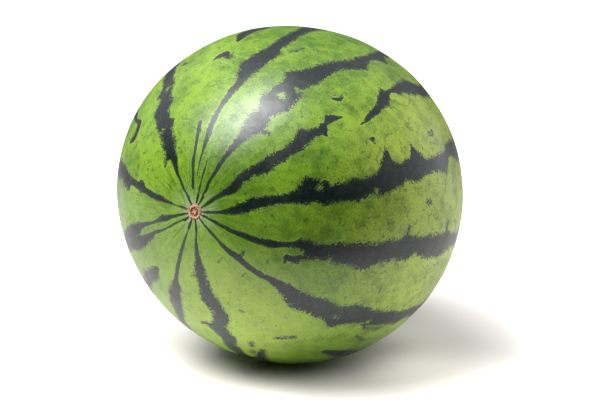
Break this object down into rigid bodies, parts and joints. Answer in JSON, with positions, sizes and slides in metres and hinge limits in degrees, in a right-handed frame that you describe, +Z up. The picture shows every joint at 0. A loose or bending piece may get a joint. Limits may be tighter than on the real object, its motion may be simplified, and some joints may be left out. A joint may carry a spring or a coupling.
{
  "type": "watermelon",
  "caption": "Whole round watermelon with dark stripes, lying on its side on a small flat spot, with a corky blossom scar at the front and a stem scar at the back",
  "frame": {"origin": "at the bottom, in the middle of the fruit's width and length, at the level of the flat spot that it rests on", "axes": "+Z up; the fruit's axis runs along Y, with the blossom end at -Y and raised by 5 degrees; +X across the fruit"},
  "size_m": [0.2228, 0.2246, 0.2157],
  "materials": {
    "rind": "satin",
    "cork": "matte"
  },
  "bodies": {
    "root": {"watermelon": "rind"}
  },
  "joints": []
}
